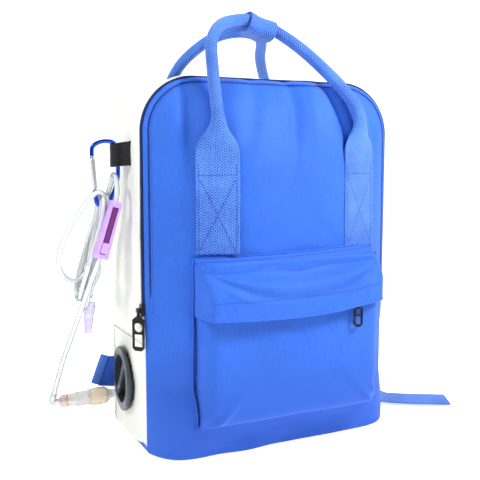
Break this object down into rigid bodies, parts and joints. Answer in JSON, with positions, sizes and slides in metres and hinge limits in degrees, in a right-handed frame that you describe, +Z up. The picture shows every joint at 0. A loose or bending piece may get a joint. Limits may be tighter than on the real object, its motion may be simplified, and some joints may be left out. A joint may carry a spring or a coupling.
{
  "type": "oxygen concentrator",
  "caption": "Backpack portable oxygen concentrator: soft bag with inner compressor unit, side vent and outlet, coiled clear tube on a carabiner.",
  "frame": {"origin": "centre of the bag's flat base, on the surface it stands on", "axes": "+Z up, the pocket side faces -Y, the outlet, vent and hanging tube are on the -X side"},
  "size_m": [0.4974, 0.2352, 0.473],
  "materials": {
    "blue_fabric": "woven polyester, slightly sheened",
    "blue_webbing": "ribbed webbing",
    "white_fabric": "coated off-white oxford cloth",
    "navy_zip": "navy zip tape with a nylon coil",
    "dark_metal": "gunmetal plating",
    "black_webbing": "ribbed black webbing",
    "blue_anodised": "blue anodised",
    "steel": "satin",
    "dark_plastic": "fine satin",
    "white_plastic": "smooth",
    "amber_plastic": "tinted clear",
    "clear_plastic": "clear",
    "pink_plastic": "smooth",
    "clear_pvc": "clear soft tubing",
    "lavender_plastic": "smooth",
    "lavender_clear": "translucent",
    "case_plastic": "fine texture",
    "button_plastic": "satin",
    "rubber": "matt",
    "aluminium": "machined",
    "battery_plastic": "textured",
    "circuit_board": "solder resist"
  },
  "bodies": {
    "root": {"back_panel": "blue_fabric", "base_panel": "blue_fabric", "battery_pack": "battery_plastic", "carabiner_hook": "blue_anodised", "carabiner_loop": "black_webbing", "carabiner_pin": "steel", "case_front": "case_plastic", "case_rear": "case_plastic", "case_screws": "steel", "clamp_body": "lavender_plastic", "compressor_cylinders": "aluminium", "compressor_housing": "aluminium", "control_board": "circuit_board", "control_panel": "case_plastic", "fan_frame": "dark_plastic", "front_handle": "blue_webbing", "front_panel": "blue_fabric", "front_pocket": "blue_fabric", "front_webbing": "blue_webbing", "handle_wrap": "blue_fabric", "isolation_feet": "rubber", "left_gusset": "white_fabric", "lower_straps": "blue_webbing", "main_zip_chain": "navy_zip", "outlet_bulb": "amber_plastic", "outlet_cylinder": "clear_plastic", "outlet_hose": "clear_pvc", "outlet_port": "white_plastic", "outlet_ring": "pink_plastic", "oxygen_tube": "clear_pvc", "oxygen_tube_loop": "clear_pvc", "pocket_flap": "blue_fabric", "pocket_zip_coil": "navy_zip", "product_tank": "aluminium", "rear_handle": "blue_webbing", "rear_webbing": "blue_webbing", "right_gusset": "white_fabric", "shoulder_straps": "blue_fabric", "sieve_columns": "aluminium", "strap_buckles": "dark_plastic", "strap_tabs": "blue_fabric", "strap_tail": "blue_webbing", "top_gusset": "white_fabric", "tube_connector": "lavender_clear", "tube_elbow": "clear_pvc", "tube_hank": "clear_pvc", "valve_manifold": "aluminium", "vent_bezel": "dark_plastic", "vent_grille": "dark_plastic"},
    "main_slider": {"main_zip_slider": "dark_metal"},
    "main_pull": {"main_zip_pull": "dark_metal"},
    "pocket_slider": {"pocket_zip_slider": "dark_metal"},
    "pocket_pull": {"pocket_zip_pull": "dark_metal"},
    "gate": {"carabiner_gate": "steel"},
    "fan": {"fan_rotor": "dark_plastic"},
    "compressor_shaft": {"compressor_rotor": "steel"},
    "tube_pincher": {"clamp_slider": "lavender_plastic"},
    "power_key": {"power_button": "button_plastic"},
    "flow_up_key": {"flow_up_button": "button_plastic"},
    "flow_down_key": {"flow_down_button": "button_plastic"}
  },
  "joints": [
    {"name": "main_zip_slide", "type": "slide", "parent": "root", "child": "main_slider", "axis": [0, 0, 1], "range_m": [0, 0.17]},
    {"name": "main_pull_hinge", "type": "hinge", "parent": "main_slider", "child": "main_pull", "pos_m": [-0.157, -0.038, 0.157], "axis": [0, 1, 0], "range_deg": [0, 150]},
    {"name": "pocket_zip_slide", "type": "slide", "parent": "root", "child": "pocket_slider", "axis": [-1, 0, 0], "range_m": [0, 0.14]},
    {"name": "pocket_pull_hinge", "type": "hinge", "parent": "pocket_slider", "child": "pocket_pull", "pos_m": [0.0695, -0.1102, 0.161], "axis": [-1, 0, 0], "range_deg": [0, 20]},
    {"name": "gate_hinge", "type": "hinge", "parent": "root", "child": "gate", "pos_m": [-0.1888, 0.002, 0.279], "axis": [0, 1, 0], "range_deg": [0, 25], "stiffness_Nm_per_rad": 0.3, "springref_deg": -8.59},
    {"name": "fan_spin", "type": "hinge", "parent": "root", "child": "fan", "pos_m": [-0.12, 0.033, 0.065], "axis": [1, 0, 0], "continuous": true},
    {"name": "compressor_spin", "type": "hinge", "parent": "root", "child": "compressor_shaft", "pos_m": [0.045, 0.02, 0.046], "axis": [1, 0, 0], "continuous": true},
    {"name": "clamp_slide", "type": "slide", "parent": "root", "child": "tube_pincher", "axis": [0.3015, 0, 0.9535], "range_m": [0, 0.036]},
    {"name": "power_press", "type": "slide", "parent": "root", "child": "power_key", "axis": [0, 0, -1], "range_m": [0, 0.0012], "stiffness_N_per_m": 500, "springref_m": -0.001},
    {"name": "flow_up_press", "type": "slide", "parent": "root", "child": "flow_up_key", "axis": [0, 0, -1], "range_m": [0, 0.0012], "stiffness_N_per_m": 500, "springref_m": -0.001},
    {"name": "flow_down_press", "type": "slide", "parent": "root", "child": "flow_down_key", "axis": [0, 0, -1], "range_m": [0, 0.0012], "stiffness_N_per_m": 500, "springref_m": -0.001}
  ]
}
